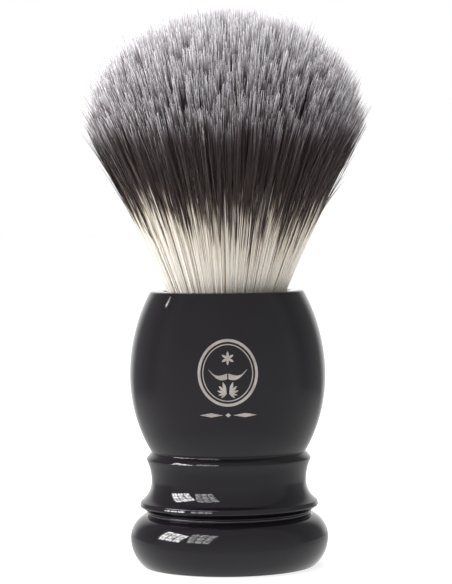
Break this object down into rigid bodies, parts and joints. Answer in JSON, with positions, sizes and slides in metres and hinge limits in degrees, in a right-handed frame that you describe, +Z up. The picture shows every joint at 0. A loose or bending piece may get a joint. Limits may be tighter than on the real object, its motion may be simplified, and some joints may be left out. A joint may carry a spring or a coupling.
{
  "type": "shaving brush",
  "caption": "Shaving brush: a heavy turned handle with a waisted grip and round foot, holding a dense splayed knot of banded fibres that flexes above the rim.",
  "frame": {"origin": "centre of the flat base that the brush stands on", "axes": "+Z up along the turned handle's axis to the crown of the tuft; -Y is the front, the side with the decoration; +X is to the right seen from the front"},
  "size_m": [0.055, 0.055, 0.1123],
  "materials": {
    "black_resin": "gloss",
    "black_rubber": "matte",
    "steel": "satin",
    "grey_foam": "matte",
    "brass": "satin",
    "adhesive": "satin",
    "cup_plastic": "satin",
    "amber_resin": "gloss",
    "thread": "matte",
    "fibre_cream": "satin",
    "fibre_banded": "satin"
  },
  "bodies": {
    "handle": {"handle_body": "black_resin", "foot": "black_resin", "foot_gasket": "black_rubber", "base_pad": "black_rubber", "ballast_slug": "steel", "ballast_pad": "grey_foam", "tie_screw": "steel", "spring_washer": "steel", "thread_insert": "brass", "adhesive_bed": "adhesive", "knot_cup": "cup_plastic", "resin_plug": "amber_resin", "binding_thread": "thread", "fibre_roots": "fibre_cream"},
    "tuft": {"fibre_tuft": "fibre_banded"}
  },
  "joints": [
    {"name": "tuft_flex", "type": "hinge", "parent": "handle", "child": "tuft", "pos_m": [0, 0, 0.063], "axis": [0, 1, 0], "range_deg": [-25, 25], "stiffness_Nm_per_rad": 0.15}
  ]
}
